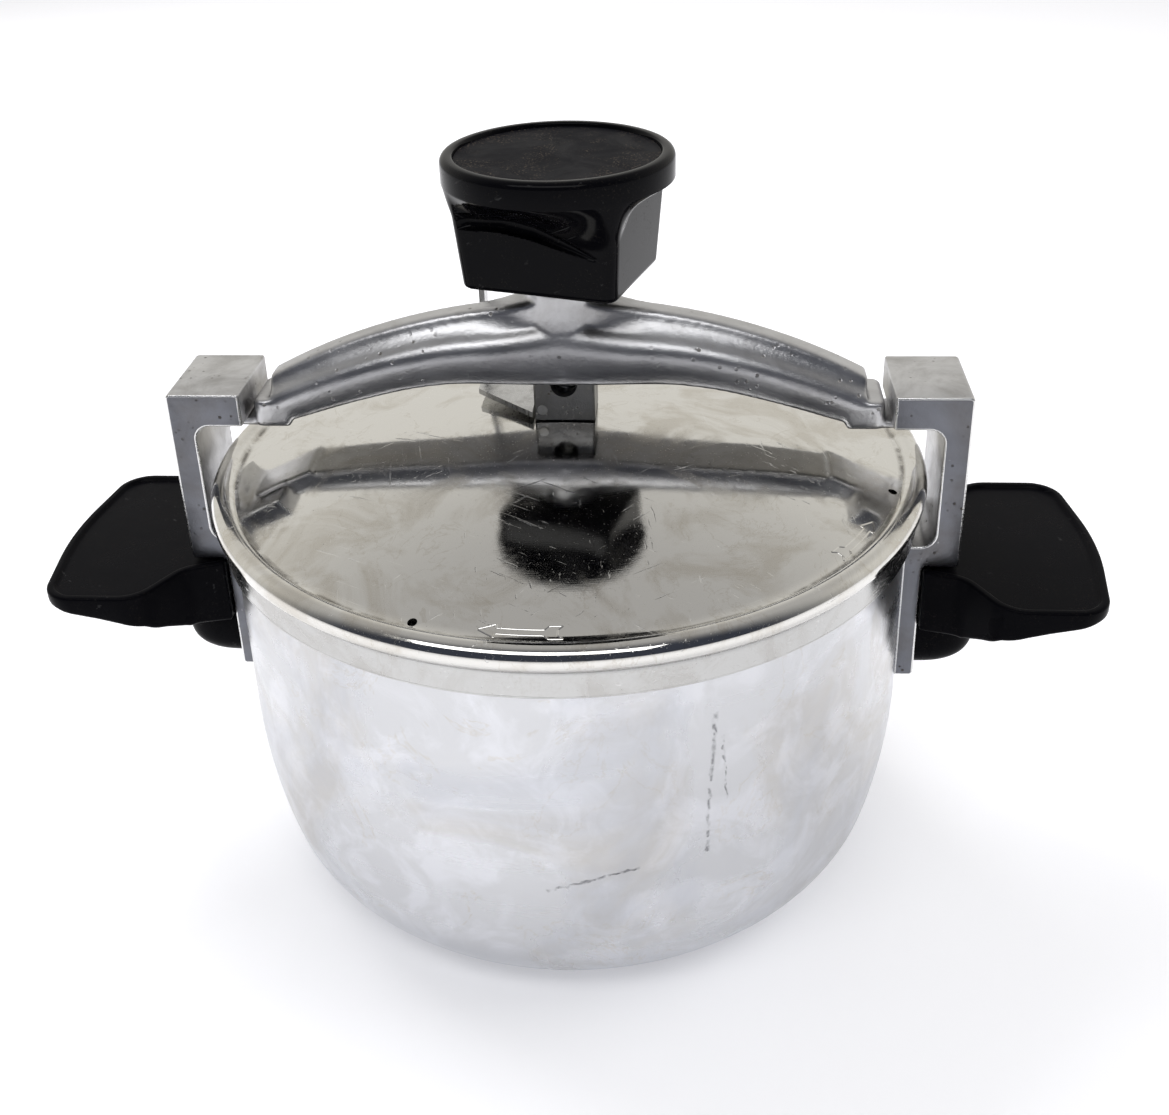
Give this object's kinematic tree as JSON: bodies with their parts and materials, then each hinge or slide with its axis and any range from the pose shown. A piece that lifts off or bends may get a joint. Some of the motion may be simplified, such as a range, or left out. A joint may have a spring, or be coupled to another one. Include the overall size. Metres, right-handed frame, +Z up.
{
  "type": "pressure cooker",
  "caption": "Stovetop pressure cooker: a round metal pot whose domed cover is held down by an arched clamp bar, tightened with a knob, under hooks above black handles.",
  "frame": {"origin": "centre of the pot's flat base, on the surface it stands on", "axes": "+Z up along the pot's axis, +X towards the right bracket and handle, -Y towards the front, where the steam outlet faces"},
  "size_m": [0.376, 0.25, 0.2605],
  "materials": {
    "pot_aluminium": "satin, worn",
    "cover_aluminium": "polished, scratched and stained",
    "cast_aluminium": "tumbled casting",
    "block_metal": "dull, darkened",
    "rivet_aluminium": "satin",
    "handle_plastic": "satin black moulding",
    "knob_plastic": "glossy black moulding",
    "cap_plastic": "matte black moulding",
    "gasket_rubber": "matte",
    "ring_rubber": "matte",
    "steel": "plain",
    "lever_steel": "dull",
    "bush_brass": "turned"
  },
  "bodies": {
    "pot": {"pot_shell": "pot_aluminium", "right_bracket": "cast_aluminium", "left_bracket": "cast_aluminium", "right_bracket_rivets": "rivet_aluminium", "left_bracket_rivets": "rivet_aluminium", "right_handle": "handle_plastic", "left_handle": "handle_plastic", "right_handle_screw": "steel", "left_handle_screw": "steel", "right_handle_washer": "steel", "left_handle_washer": "steel"},
    "cover": {"cover_shell": "cover_aluminium", "cover_gasket": "gasket_rubber", "valve_block": "block_metal", "valve_block_sealing_ring": "ring_rubber", "inlet_bolt": "steel", "inlet_washer": "steel", "block_locating_pin": "steel", "screw_retaining_pin": "steel", "lever_pin": "steel", "valve_spring": "steel"},
    "knob": {"knob_body": "knob_plastic", "knob_cap": "cap_plastic", "knob_washer": "steel", "knob_nut": "steel", "clamp_screw": "steel"},
    "yoke": {"yoke": "cast_aluminium", "yoke_threaded_bush": "bush_brass"},
    "lever": {"release_lever": "lever_steel"},
    "valve": {"valve_poppet": "steel"}
  },
  "joints": [
    {"name": "cover_turn", "type": "hinge", "parent": "pot", "child": "cover", "pos_m": [0, 0, 0.15], "axis": [0, 0, 1], "continuous": true},
    {"name": "knob_turn", "type": "hinge", "parent": "cover", "child": "knob", "pos_m": [0, 0, 0.24], "axis": [0, 0, 1], "range_deg": [0, 720]},
    {"name": "yoke_slide", "type": "slide", "parent": "cover", "child": "yoke", "axis": [0, 0, 1], "range_m": [-0.006, 0]},
    {"name": "lever_press", "type": "hinge", "parent": "cover", "child": "lever", "pos_m": [-0.0076, 0.02, 0.1714], "axis": [0, -1, 0], "range_deg": [0, 5.5], "stiffness_Nm_per_rad": 0.088, "springref_deg": -8.94},
    {"name": "valve_lift", "type": "slide", "parent": "cover", "child": "valve", "axis": [0, 0, 1], "range_m": [0, 0.00102], "deforming": ["valve_spring"]}
  ],
  "couplings": [
    {"joint": "yoke_slide", "follows": "knob_turn", "m_per_rad": -0.00047746},
    {"joint": "valve_lift", "follows": "lever_press", "m_per_rad": 0.0105}
  ]
}
